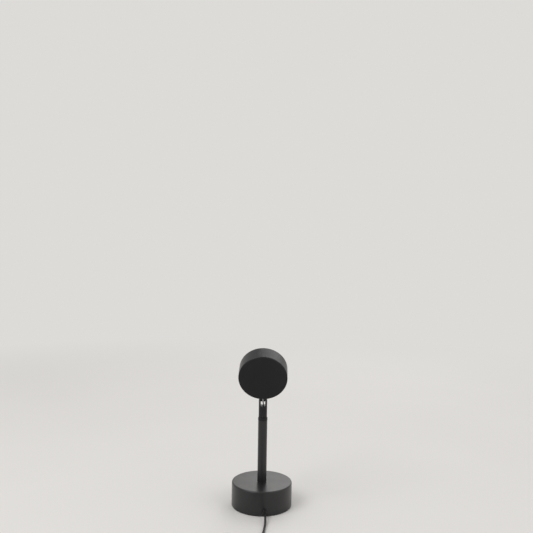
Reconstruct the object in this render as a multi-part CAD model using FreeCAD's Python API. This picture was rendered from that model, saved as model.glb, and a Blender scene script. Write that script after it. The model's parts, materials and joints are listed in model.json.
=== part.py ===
"""Sunset projection lamp: a weighted round base, a straight pole, a swivel with a pan
joint and a tilt joint, and a drum head that throws a coloured disc on a wall.

Millimetres, +Z up. The origin is the centre of the base on the table, the beam points
along +Y and the lead leaves the base near -Y. Each piece is written to its own file.
"""
import FreeCAD
import Part
import math
import os

V = FreeCAD.Vector
X, Y, Z = V(1, 0, 0), V(0, 1, 0), V(0, 0, 1)
ORIGIN = V(0, 0, 0)

# ---- Fits -----------------------------------------------------------------------------
seat_gap = 0.05  # round pieces that are screwed, pressed or moulded together
run_gap = 0.05  # radial, round a shaft that turns or slides
side_gap = 0.3  # between faces that move past each other

# ---- Base -----------------------------------------------------------------------------
base_dia = 95.0
base_height = 37.0
base_wall = 1.6
base_top_thick = 2.0
base_edge_round = 1.9
rim_lift = 0.8  # the shell's rim stands clear of the table
pad_thick = 2.0
pad_inset = 3.5
pad_chamfer = 0.4
plate_thick = 1.5
ballast_thick = 8.0
ballast_leg_dia = 8.0
ballast_leg_circle = 72.0
ballast_legs = 3
nipple_dia = 10.0
nipple_bore = 7.0
nipple_nut_flats = 14.0
nipple_nut_thick = 4.0
nipple_washer_dia = 20.0
nipple_washer_thick = 1.2
plate_screw_dia = 3.0
plate_screw_length = 8.0

# ---- Driver inside the base -----------------------------------------------------------
board_width = 34.0
board_length = 24.0
board_thick = 1.6
board_front_y = -7.0
board_post_dia = 6.0
board_post_spacing = 26.0
terminal_width = 10.0
terminal_length = 6.0
terminal_height = 4.5
choke_dia = 8.0
choke_height = 4.4
capacitor_dia = 5.0
capacitor_height = 4.2
chip_size = 4.6
chip_height = 1.5
board_screw_dia = 2.5
board_screw_length = 5.0

# ---- Pole and pan joint ---------------------------------------------------------------
pole_dia = 14.5
pole_wall = 1.2
pole_length = 96.0
foot_bush_height = 18.0
foot_bush_chamfer = 0.5
collar_dia = 15.0
collar_height = 5.0
collar_chamfer = 0.5
spigot_chamfer = 0.4
spigot_length = 11.0
stud_dia = 7.0
stud_bore = 4.8
stud_grip = 9.0  # thread length in the fork
spring_height = 0.9
spring_thick = 0.45
spring_clear = 0.35  # spring washer to the pole's bore
stud_nut_clear = 0.28  # nut's corners to the pole's bore
stud_nut_thick = 3.0
stud_tail = 1.0
stop_pin_dia = 1.6
stop_pin_circle = 10.2
stop_pin_depth = 4.0
stop_pin_reach = 1.1  # into the groove under the fork
stop_groove_depth = 1.6
pan_limit = 160.0  # degrees each way

# ---- Fork and tilt joint --------------------------------------------------------------
fork_dia = 13.4
fork_chamfer = 0.3
fork_solid = 18.5  # from the fork's foot to the floor of its slot
pivot_over_floor = 11.0
fork_wire_bore = 5.2
knuckle_thick = 6.2
cheek_gap = 0.5  # each side of the knuckle, filled by a washer
knuckle_dia = 10.0
knuckle_slot = 2.4
knuckle_slot_reach = 5.4
knuckle_blend = 0.4  # depth to which the stem's root runs into the knuckle
pivot_screw_dia = 3.0
pivot_screw_head_dia = 5.4
pivot_screw_head = 1.3
counterbore_dia = 5.8
counterbore_depth = 1.6
cheek_engagement = 1.75
washer_dia = 9.0
stem_dia = 8.0
stem_bore = 3.6
saddle_dia = 13.2
saddle_thick = 1.5
stem_nut_flats = 12.0
stem_nut_thick = 3.5
stem_tail = 1.0

# ---- Head -----------------------------------------------------------------------------
head_dia = 76.0
head_half_length = 14.0
head_wall = 2.0
head_back = 2.5
head_back_round = 1.5
head_front_round = 0.5
head_clearance = 7.4  # pivot to the drum's outside
head_tilt = 22.0  # degrees that the beam points up at rest

sink_clear = 1.8  # heat sink to the drum's wall
sink_thick = 3.0
sink_pad_dia = 31.0
sink_pad_height = 2.5
sink_screw_inset = 3.6
sink_screw_floor = 0.8  # metal left under the blind holes in the drum's back
led_board_dia = 28.0
led_board_thick = 1.6
led_screw_circle = 22.0
emitter_size = 13.5
emitter_thick = 1.0
phosphor_dia = 9.0
phosphor_height = 0.5
cone_small_dia = 12.6
cone_drop = 3.8
cone_lift = 0.6  # over the emitter
cone_wall = 1.1
cone_flange_thick = 1.0
filter_dia = 38.2
filter_thick = 1.1
spacer_thick = 0.5
lens_dia = 46.0
lens_edge = 1.8
lens_land_width = 2.0  # flat ring round the dome, under the gasket
lens_radius = 40.0
gasket_thick = 0.8
ledge = 1.6  # width of each step that glass rests on
holder_wall = 1.8
holder_foot_dia = 54.0
holder_foot_thick = 1.6
holder_screw_circle = 48.6
holder_screw_turn = 30.0  # degrees from the heat sink's screws
barrel_flare = 3.2  # the holder is this much wider below the throat
throat_ledge = 1.0
throat_depth = 1.2
wire_notch_width = 5.0
bezel_rim = 1.5
bezel_skirt = 5.9
bezel_skirt_wall = 2.0
notch_width = 3.0  # two notches for a pin spanner
notch_depth = 1.2
bezel_thick = 1.6
bezel_inset = 0.6
small_screw_dia = 2.5
small_screw_head_dia = 4.4
small_screw_head = 1.4

# ---- Leads ----------------------------------------------------------------------------
inner_lead_dia = 1.7
core_dia = 1.2
core_spacing = 1.5
core_clear = 0.2  # straight run of the two cores past the stem's end
core_settle = 5.0  # along the board before they end on it
cord_dia = 3.4
cord_exit_height = 8.0
base_turn = 7.0  # degrees that the base, with the lead's exit, is turned under the head
relief_length = 7.0
relief_root_dia = 7.2
relief_tip_dia = 4.8
relief_neck_dia = 6.4
relief_flange_thick = 1.2
relief_collar = 1.2  # straight part outside the wall
cord_stop_dia = 8.0
cord_stop_length = 4.0

# ---- In-line switch on the lead -------------------------------------------------------
switch_x = 5.2
switch_start_y = -129.0
switch_length = 48.0
switch_width = 18.0
switch_height = 12.0
switch_split = 5.0  # height of the lead's axis and of the joint between the halves
switch_wall = 1.5
switch_end_round = 6.0
switch_edge_round = 1.8
nozzle_length = 5.0
nozzle_root_dia = 7.0
nozzle_tip_dia = 5.4
nozzle_collar = 0.6  # straight part outside the case
button_dia = 9.6
button_proud = 1.0
button_travel = 1.2
button_lip = 1.2
button_chamfer = 0.6
button_flange_thick = 1.3
button_stem_dia = 3.0
button_stem_engage = 1.0  # of the plunger in the switch's well, at rest
core_box = 8.0
core_height = 3.5
switch_board_length = 26.0
switch_board_width = 13.0
switch_board_thick = 1.6
case_post_dia = 4.4
case_post_spacing = 35.0
case_screw_dia = 2.0
case_screw_head_dia = 3.6
case_screw_length = 7.0
case_screw_depth = 1.6

# ---- Coil of the lead -----------------------------------------------------------------
coil_turns = 9.5
coil_layers = 4
coil_outer_radius = 24.9
coil_turn_step = 3.95  # from one turn to the next in a layer
coil_layer_step = 4.0
coil_link_run = 17.0  # from the switch down to the table
coil_tail_flat = 10.0
coil_tail_run = 26.0

# ---- Plug -----------------------------------------------------------------------------
plug_relief_length = 10.0
plug_relief_tip_wall = 0.9
plug_relief_root_wall = 1.7
plug_body_length = 24.0
plug_body_width = 15.6
plug_body_height = 7.6
plug_edge_round = 1.6
plug_grips = 5
plug_grip_width = 1.1
plug_grip_pitch = 2.4
plug_grip_depth = 0.45
plug_grip_start = 7.0  # from the moulding's back to its first grip
plug_shell_width = 12.0
plug_shell_height = 4.5
plug_shell_length = 12.3  # outside the moulding
plug_shell_wall = 0.3
plug_shell_root = 8.0  # inside the moulding
plug_tongue_thick = 1.84
plug_contact_width = 1.0
plug_contact_thick = 0.25
plug_cord_depth = 8.0
plug_window_size = 2.2
plug_window_x = 3.0
plug_window_start = 4.6  # from the moulding
plug_contact_places = [-3.5, -1.0, 1.0, 3.5]
plug_outer_contact = 9.2
plug_inner_contact = 8.2
plug_recess = 0.8  # the tongue ends this far inside the shell

# ---- Worked-out places ----------------------------------------------------------------
base_radius = base_dia / 2
shell_bore = base_radius - base_wall
under_top = base_height - base_top_thick
ballast_low = under_top - ballast_thick
plate_low = pad_thick
plate_top = plate_low + plate_thick
pole_radius = pole_dia / 2
pole_bore = pole_radius - pole_wall
pole_top = base_height + pole_length
collar_top = pole_top + collar_height
spigot_low = pole_top - spigot_length
fork_low = collar_top + side_gap
fork_radius = fork_dia / 2
fork_slot_width = knuckle_thick + 2 * cheek_gap
slot_floor = fork_low + fork_solid
pivot_height = slot_floor + pivot_over_floor
stud_top = fork_low + stud_grip
spring_radius = pole_bore - spring_clear
stud_nut_flats = 2 * (pole_bore - stud_nut_clear) * math.cos(math.pi / 6)
spring_low = spigot_low - 2 * run_gap - spring_height
stud_nut_low = spring_low - stud_nut_thick
stud_low = stud_nut_low - stud_tail
lead_joint_z = stud_low + stud_tail  # the pole's lead ends here and the neck's begins
board_low = cord_exit_height + terminal_height / 2
board_back_y = board_front_y - board_length
board_middle_y = (board_front_y + board_back_y) / 2
board_top = board_low + board_thick
board_post_places = [-board_post_spacing / 2, board_post_spacing / 2]
cord_radius = cord_dia / 2

head_radius = head_dia / 2
axis_rise = head_clearance + head_radius  # pivot to the drum's axis
inner_radius = head_radius - head_wall
back_inside = -head_half_length + head_back
sink_radius = inner_radius - sink_clear
sink_screw_circle = 2 * (sink_radius - sink_screw_inset)
sink_top = back_inside + sink_thick
pad_top = sink_top + sink_pad_height
led_top = pad_top + led_board_thick
emitter_top = led_top + emitter_thick
cone_low = emitter_top + cone_lift + cone_drop
filter_back = cone_low + cone_flange_thick
lens_back = filter_back + filter_thick + spacer_thick
lens_dome_radius = lens_dia / 2 - lens_land_width
lens_land = lens_back + lens_edge
bezel_back = lens_land + gasket_thick
bezel_front = head_half_length - bezel_inset
lens_seat_radius = lens_dia / 2 + seat_gap
filter_seat_radius = filter_dia / 2 + seat_gap
cone_seat_radius = filter_seat_radius - ledge
throat_radius = cone_seat_radius - throat_ledge
holder_radius = lens_seat_radius + holder_wall
barrel_radius = throat_radius + barrel_flare

stem_seat = axis_rise - inner_radius + saddle_thick
stem_end = stem_seat + stem_nut_thick + stem_tail

made = {}


# ---- Shaping --------------------------------------------------------------------------
def lathe(points):
    """Solid turned about Z from (radius, height) corners joined by straight lines."""
    corners = [V(r, 0, z) for r, z in points]
    face = Part.Face(Part.makePolygon(corners + corners[:1]))
    return face.revolve(ORIGIN, Z, 360)


def rod(radius, low, high, x=0.0, y=0.0):
    """Upright cylinder."""
    return Part.makeCylinder(radius, high - low, V(x, y, low))


def sleeve(outer, inner, low, high):
    """Upright tube."""
    return lathe([(inner, low), (outer, low), (outer, high), (inner, high)])


def block(width, length, low, high, x=0.0, y=0.0):
    """Upright box centred on x, y."""
    return Part.makeBox(width, length, high - low, V(x - width / 2, y - length / 2, low))


def hexagon(flats, low, high):
    """Upright hexagonal prism, measured across its flats."""
    corner = flats / 2 / math.cos(math.pi / 6)
    points = [
        V(corner * math.cos(math.pi * k / 3), corner * math.sin(math.pi * k / 3), low)
        for k in range(6)
    ]
    face = Part.Face(Part.makePolygon(points + points[:1]))
    return face.extrude(V(0, 0, high - low))


def around(count, circle_dia, first=0.0):
    """Centres spaced evenly on a circle, the first at an angle in degrees."""
    for k in range(count):
        turn = math.radians(first + 360.0 * k / count)
        yield circle_dia / 2 * math.cos(turn), circle_dia / 2 * math.sin(turn)


def rim(shape, radius, height):
    """The round edges of one radius at one height."""
    return [
        e
        for e in shape.Edges
        if isinstance(e.Curve, Part.Circle)
        and abs(e.Curve.Radius - radius) < 1e-6
        and abs(e.BoundBox.ZMin - height) < 1e-6
        and abs(e.BoundBox.ZMax - height) < 1e-6
    ]


def turned(shape, start, to, move=ORIGIN):
    """A copy turned so that direction start points to another, then moved."""
    copy = shape.copy()
    copy.Placement = FreeCAD.Placement(move, FreeCAD.Rotation(start, to)).multiply(copy.Placement)
    return copy


def small_screw(shank):
    """One of the head's small screws, pointing down from Z = 0."""
    return pan_screw(small_screw_dia, shank, small_screw_head_dia, small_screw_head)


def pan_screw(shank_dia, shank, head_dia, head):
    """Screw pointing down from Z = 0, with a low domed head and a hexagonal socket."""
    shoulder = head * 0.6
    body = lathe(
        [
            (0, -shank),
            (shank_dia / 2, -shank),
            (shank_dia / 2, 0),
            (head_dia / 2, 0),
            (head_dia / 2, shoulder),
            (head_dia / 2 * 0.7, head),
            (0, head),
        ]
    )
    return body.cut(hexagon(head_dia * 0.42, head * 0.45, head * 1.1))


def countersunk_screw(shank_dia, length):
    """Screw pointing down from a flat head at Z = 0, twice the shank wide at 90 degrees."""
    taper = shank_dia / 2
    body = lathe(
        [(0, -length), (shank_dia / 2, -length), (shank_dia / 2, -taper), (shank_dia, 0), (0, 0)]
    )
    return body.cut(hexagon(shank_dia * 0.67, -taper * 0.8, taper))


def node(name, *solids):
    """Keeps a piece, or a group of alike pieces, under its name."""
    shape = solids[0] if len(solids) == 1 else Part.makeCompound(list(solids))
    if not shape.isValid():
        raise ValueError(name + " is not a valid solid")
    made[name] = shape


# ---- Paths of leads -------------------------------------------------------------------
def arc_from(start, tangent, end):
    """Arc that leaves start along tangent and ends at end, or a line where it has no bend."""
    chord = end - start
    length = chord.Length
    along = V(chord).normalize()
    lean = tangent - along * tangent.dot(along)
    if lean.Length < 1e-7:
        return Part.LineSegment(start, end).toShape()
    half = math.atan2(lean.Length, tangent.dot(along))
    rise = length / 2 * math.tan(half / 2)
    middle = start + chord * 0.5 + lean.normalize() * rise
    return Part.Arc(start, middle, end).toShape()


def end_tangent(start, tangent, end):
    """Direction in which that arc arrives."""
    along = V(end - start).normalize()
    return along * (2 * tangent.dot(along)) - tangent


def biarc(start, leave, end, arrive):
    """Two arcs of equal reach that join two points and their directions smoothly."""
    span = end - start
    total = leave + arrive
    across = span.dot(total)
    bend = 2 * (1 - leave.dot(arrive))
    if bend < 1e-9:
        reach = span.dot(span) / (2 * across)
    else:
        reach = (math.sqrt(across * across + bend * span.dot(span)) - across) / bend
    joint = (start + end) * 0.5 + (leave - arrive) * (reach / 2)
    first = arc_from(start, leave, joint)
    return [first, arc_from(joint, end_tangent(start, leave, joint), end)]


def rounded_route(points, name):
    """Straight runs joined by arcs as large as the shorter run allows; prints each radius."""
    edges, radii = [], []
    at = points[0]
    for before, corner, after in zip(points, points[1:], points[2:]):
        come, go = V(corner - before).normalize(), V(after - corner).normalize()
        back = 0.45 * min((corner - before).Length, (after - corner).Length)
        enter, leave = corner - come * back, corner + go * back
        edges.append(Part.LineSegment(at, enter).toShape())
        edges.append(arc_from(enter, come, leave))
        radii.append(back / math.tan(come.getAngle(go) / 2))
        at = leave
    edges.append(Part.LineSegment(at, points[-1]).toShape())
    print(name, "radii", " ".join("%.1f" % r for r in radii))
    return edges


def tube(edges, diameter):
    """Round solid carried along edges that join smoothly."""
    path = Part.Wire(edges)
    start = edges[0].valueAt(edges[0].FirstParameter)
    heading = edges[0].tangentAt(edges[0].FirstParameter)
    section = Part.Wire([Part.Circle(start, heading, diameter / 2).toShape()])
    solid = path.makePipeShell([section], True, False)
    share = solid.Volume / (math.pi * diameter**2 / 4 * path.Length)
    print("tube length %.1f mm, volume over section times length %.4f" % (path.Length, share))
    return solid


# ---- Base -----------------------------------------------------------------------------
def make_base():
    nipple_radius = nipple_dia / 2
    hole = nipple_radius + 4 * seat_gap
    shell = lathe(
        [
            (base_radius, rim_lift),
            (base_radius, base_height),
            (hole, base_height),
            (hole, under_top),
            (shell_bore, under_top),
            (shell_bore, rim_lift),
        ]
    )
    shell = shell.makeFillet(base_edge_round, rim(shell, base_radius, base_height))
    cord_hole = turned(rod(relief_neck_dia / 2 + seat_gap, 0, base_radius), Z, -Y, V(0, 0, cord_exit_height))
    node("base_shell", shell.cut(cord_hole))

    disc = sleeve(shell_bore - side_gap, hole, ballast_low, under_top)
    legs = [
        rod(ballast_leg_dia / 2, plate_top, ballast_low, x, y)
        for x, y in around(ballast_legs, ballast_leg_circle, 90)
    ]
    leg_bore = plate_screw_dia / 2 + seat_gap
    leg_bores = [
        rod(leg_bore, plate_top - 1, plate_low + plate_screw_length + 1, x, y)
        for x, y in around(ballast_legs, ballast_leg_circle, 90)
    ]
    posts, post_bores = [], []
    for x in board_post_places:
        posts.append(rod(board_post_dia / 2, board_top, ballast_low, x, board_middle_y))
        post_bore = board_screw_dia / 2 + seat_gap
        post_bores.append(rod(post_bore, board_low, board_low + board_screw_length + 1, x, board_middle_y))
    node("base_ballast", disc.fuse(legs + posts).cut(leg_bores + post_bores))

    plate = rod(shell_bore - side_gap, plate_low, plate_top)
    screws = []
    for x, y in around(ballast_legs, ballast_leg_circle, 90):
        head = plate_screw_dia + seat_gap
        seat = lathe(
            [
                (0, plate_low - 1),
                (head, plate_low - 1),
                (head, plate_low),
                (plate_screw_dia / 2 + seat_gap, plate_low + plate_screw_dia / 2),
                (plate_screw_dia / 2 + seat_gap, plate_top + 1),
                (0, plate_top + 1),
            ]
        )
        seat.translate(V(x, y, 0))
        plate = plate.cut(seat)
        screw = countersunk_screw(plate_screw_dia, plate_screw_length)
        screws.append(turned(screw, Z, -Z, V(x, y, plate_low)))
    node("base_plate", plate)
    node("base_plate_screws", *screws)

    pad = rod(base_radius - pad_inset, 0, pad_thick)
    node("foot_pad", pad.makeChamfer(pad_chamfer, rim(pad, base_radius - pad_inset, 0)))

    washer_low = ballast_low - nipple_washer_thick
    nut_low = washer_low - nipple_nut_thick
    bush_top = base_height + foot_bush_height
    node("pole_nipple", sleeve(nipple_radius, nipple_bore / 2, nut_low - 1, bush_top - 1))
    node("nipple_washer", sleeve(nipple_washer_dia / 2, nipple_radius + seat_gap, washer_low, ballast_low))
    nut = hexagon(nipple_nut_flats, nut_low, washer_low)
    node("nipple_nut", nut.cut(rod(nipple_radius + seat_gap, nut_low - 1, washer_low + 1)))
    bush_radius = pole_bore - seat_gap
    node(
        "pole_foot_bush",
        lathe(
            [
                (nipple_radius + seat_gap, base_height),
                (bush_radius, base_height),
                (bush_radius, bush_top - foot_bush_chamfer),
                (bush_radius - foot_bush_chamfer, bush_top),
                (nipple_radius + seat_gap, bush_top),
            ]
        ),
    )


def make_driver():
    """Current regulator under the ballast, with its parts on the lower side."""
    board = block(board_width, board_length, board_low, board_top, 0, board_middle_y)
    hole = board_screw_dia / 2 + seat_gap
    screws = []
    for x in board_post_places:
        board = board.cut(rod(hole, board_low - 1, board_top + 1, x, board_middle_y))
        screw = pan_screw(board_screw_dia, board_screw_length, small_screw_head_dia, small_screw_head)
        screws.append(turned(screw, Z, -Z, V(x, board_middle_y, board_low)))
    node("driver_board", board)
    node("driver_board_screws", *screws)

    low = board_low - terminal_height
    node(
        "driver_terminals",
        block(terminal_width, terminal_length, low, board_low, 0, board_back_y + terminal_length / 2),
        block(terminal_width, terminal_length, low, board_low, 0, board_front_y - terminal_length / 2),
    )
    beside = terminal_width / 2 + 1
    choke = choke_dia / 2
    can = capacitor_dia / 2
    node(
        "driver_parts",
        rod(choke, board_low - choke_height, board_low, -beside - choke, board_front_y - choke - 1),
        rod(can, board_low - capacitor_height, board_low, beside + can, board_back_y + can + 1),
        block(chip_size, chip_size, board_low - chip_height, board_low, 0, board_middle_y),
    )


# ---- Pole and pan joint ---------------------------------------------------------------
def make_pole():
    node("pole_tube", sleeve(pole_radius, pole_bore, base_height, pole_top))

    stud_hole = stud_dia / 2 + run_gap
    collar = collar_dia / 2
    spigot = pole_bore - seat_gap
    seat = lathe(
        [
            (stud_hole, spigot_low),
            (spigot - spigot_chamfer, spigot_low),
            (spigot, spigot_low + spigot_chamfer),
            (spigot, pole_top),
            (collar - collar_chamfer, pole_top),
            (collar, pole_top + collar_chamfer),
            (collar, collar_top - collar_chamfer),
            (collar - collar_chamfer, collar_top),
            (stud_hole, collar_top),
        ]
    )
    pin_y = -stop_pin_circle / 2
    pin_low = collar_top - stop_pin_depth
    pin_hole = rod(stop_pin_dia / 2 + seat_gap, pin_low, collar_top + 1, 0, pin_y)
    node("swivel_seat", seat.cut(pin_hole))
    node("stop_pin", rod(stop_pin_dia / 2, pin_low, fork_low + stop_pin_reach, 0, pin_y))


def stop_groove():
    """Round-ended arc groove that lets the stop pin pass pan_limit each way."""
    centre = stop_pin_circle / 2
    half = stop_pin_dia / 2 + 3 * run_gap
    top = fork_low + stop_groove_depth
    reach = pan_limit + 1
    band = sleeve(centre + half, centre - half, fork_low - 1, top)
    sector = Part.makeCylinder(centre + 2 * half, top - fork_low + 2, V(0, 0, fork_low - 2), Z, 2 * reach)
    sector.rotate(ORIGIN, Z, -90 - reach)
    ends = []
    for side in (-1, 1):
        turn = math.radians(-90 + side * reach)
        ends.append(rod(half, fork_low - 1, top, centre * math.cos(turn), centre * math.sin(turn)))
    return band.common(sector).fuse(ends)


def make_neck():
    top = pivot_height + fork_radius
    blank = rod(fork_radius, fork_low, top)
    blank = blank.makeChamfer(fork_chamfer, rim(blank, fork_radius, fork_low))
    side = block(fork_dia, fork_dia, fork_low, pivot_height)
    crown = turned(rod(fork_radius, -fork_radius, fork_radius), Z, X, V(0, 0, pivot_height))
    fork = blank.common(side.fuse(crown))
    fork = fork.cut(block(fork_slot_width, fork_dia + 2, slot_floor, top + 1))
    fork = fork.cut(rod(stud_dia / 2 + seat_gap, fork_low - 1, stud_top))
    fork = fork.cut(rod(fork_wire_bore / 2, stud_top - 1, slot_floor + 1))
    fork = fork.cut(stop_groove())

    seat_x = fork_radius - counterbore_depth
    shank = seat_x - (knuckle_thick / 2 - cheek_engagement)
    screws, washers = [], []
    washer_thick = (fork_slot_width - knuckle_thick) / 2 - 2 * run_gap
    for way in (X, -X):
        middle = V(0, 0, pivot_height)
        fork = fork.cut(turned(rod(pivot_screw_dia / 2 + seat_gap, 0, fork_dia), Z, way, middle))
        fork = fork.cut(turned(rod(counterbore_dia / 2, seat_x, fork_dia), Z, way, middle))
        screw = pan_screw(pivot_screw_dia, shank, pivot_screw_head_dia, pivot_screw_head)
        screws.append(turned(screw, Z, way, middle + way * seat_x))
        inside = knuckle_thick / 2 + run_gap
        washer = sleeve(washer_dia / 2, pivot_screw_dia / 2 + run_gap, inside, inside + washer_thick)
        washers.append(turned(washer, Z, way, middle))
    node("neck_fork", fork)
    node("pivot_screws", *screws)
    node("friction_washers", *washers)

    node("neck_stud", sleeve(stud_dia / 2, stud_bore / 2, stud_low, stud_top))
    bore = stud_dia / 2 + seat_gap
    edge = spring_radius
    node(
        "spring_washer",
        lathe(
            [
                (bore, spring_low),
                (bore, spring_low + spring_thick),
                (edge, spring_low + spring_height),
                (edge, spring_low + spring_height - spring_thick),
            ]
        ),
    )
    nut = hexagon(stud_nut_flats, stud_nut_low, spring_low)
    node("neck_nut", nut.cut(rod(bore, stud_nut_low - 1, spring_low + 1)))


# ---- Head -----------------------------------------------------------------------------
# Pieces of the stem are made upright with the pivot at the origin, and turned pieces of
# the drum with their axis on Z and the beam towards +Z. Both are then put in place.
def on_stem(shape):
    """From the pivot's own upright frame to the resting tilt."""
    copy = shape.copy()
    copy.rotate(ORIGIN, X, head_tilt)
    copy.translate(V(0, 0, pivot_height))
    return copy


def lay_drum(shape):
    """From the drum's turning axis to the pivot's upright frame."""
    copy = shape.copy()
    copy.rotate(ORIGIN, X, -90)
    copy.translate(V(0, 0, axis_rise))
    return copy


def in_drum(shape):
    return on_stem(lay_drum(shape))


def drum_core(radius):
    """Cylinder on the drum's axis, in the pivot's upright frame."""
    return lay_drum(rod(radius, -2 * head_half_length, 2 * head_half_length))


def make_stem():
    half = knuckle_thick / 2
    reach = knuckle_dia / 2
    rise = head_clearance + 1
    cheek = turned(rod(reach, -half, half), Z, X)
    body = cheek.fuse(block(knuckle_thick, knuckle_dia, 0, rise))
    body = body.cut(drum_core(head_radius + seat_gap))
    stem_low = head_clearance - knuckle_blend
    body = body.fuse(rod(stem_dia / 2, stem_low, stem_end)).removeSplitter()
    slot = block(knuckle_slot, knuckle_dia + 2, -reach - 1, knuckle_slot_reach)
    body = body.cut(slot).cut(rod(stem_bore / 2, 0, stem_end + 1))
    body = body.cut(turned(rod(pivot_screw_dia / 2 + run_gap, -half - 1, half + 1), Z, X))
    node("head_knuckle", on_stem(body))

    bore = stem_dia / 2 + seat_gap
    saddle = rod(saddle_dia / 2, 0, stem_seat).common(drum_core(inner_radius - seat_gap))
    node("stem_saddle_washer", on_stem(saddle.cut(rod(bore, 0, stem_seat + 1))))
    nut = hexagon(stem_nut_flats, stem_seat, stem_seat + stem_nut_thick)
    node("stem_nut", on_stem(nut.cut(rod(bore, 0, stem_end))))


def make_drum():
    back = -head_half_length
    shell = lathe(
        [
            (0, back),
            (head_radius, back),
            (head_radius, head_half_length),
            (inner_radius, head_half_length),
            (inner_radius, back_inside),
            (0, back_inside),
        ]
    )
    shell = shell.makeFillet(head_back_round, rim(shell, head_radius, back))
    shell = shell.makeFillet(head_front_round, rim(shell, head_radius, head_half_length))
    bores = [
        rod(small_screw_dia / 2 + seat_gap, sink_screw_floor - head_half_length, back_inside + 1, x, y)
        for x, y in around(3, sink_screw_circle, 0)
    ]
    stem_hole = rod(stem_dia / 2 + 2 * seat_gap, 0, stem_seat)
    node("head_shell", on_stem(lay_drum(shell.cut(bores)).cut(stem_hole)))


def make_light_engine():
    sink = lathe(
        [
            (0, back_inside),
            (sink_radius, back_inside),
            (sink_radius, sink_top),
            (sink_pad_dia / 2, sink_top),
            (sink_pad_dia / 2, pad_top),
            (0, pad_top),
        ]
    )
    bore = small_screw_dia / 2 + seat_gap
    sink_screws, holder_screws, led_screws = [], [], []
    for x, y in around(3, sink_screw_circle, 0):
        sink = sink.cut(rod(bore, back_inside - 1, sink_top + 1, x, y))
        screw = small_screw(sink_thick + head_back - sink_screw_floor - 0.2)
        screw.translate(V(x, y, sink_top))
        sink_screws.append(in_drum(screw))
    foot_top = sink_top + holder_foot_thick
    for x, y in around(3, holder_screw_circle, holder_screw_turn):
        sink = sink.cut(rod(bore, back_inside, sink_top + 1, x, y))
        screw = small_screw(holder_foot_thick + sink_thick - 0.4)
        screw.translate(V(x, y, foot_top))
        holder_screws.append(in_drum(screw))
    board = rod(led_board_dia / 2, pad_top, led_top)
    for x, y in around(2, led_screw_circle, 0):
        sink = sink.cut(rod(bore, sink_top, pad_top + 1, x, y))
        board = board.cut(rod(bore, pad_top - 1, led_top + 1, x, y))
        screw = small_screw(led_board_thick + sink_pad_height - 0.3)
        screw.translate(V(x, y, led_top))
        led_screws.append(in_drum(screw))
    node("heat_sink", in_drum(sink))
    node("heat_sink_screws", *sink_screws)
    node("holder_screws", *holder_screws)
    node("led_board", in_drum(board))
    node("led_board_screws", *led_screws)
    chip = block(emitter_size, emitter_size, led_top, emitter_top)
    node("led_emitter", in_drum(chip.fuse(rod(phosphor_dia / 2, emitter_top, emitter_top + phosphor_height))))


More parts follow.
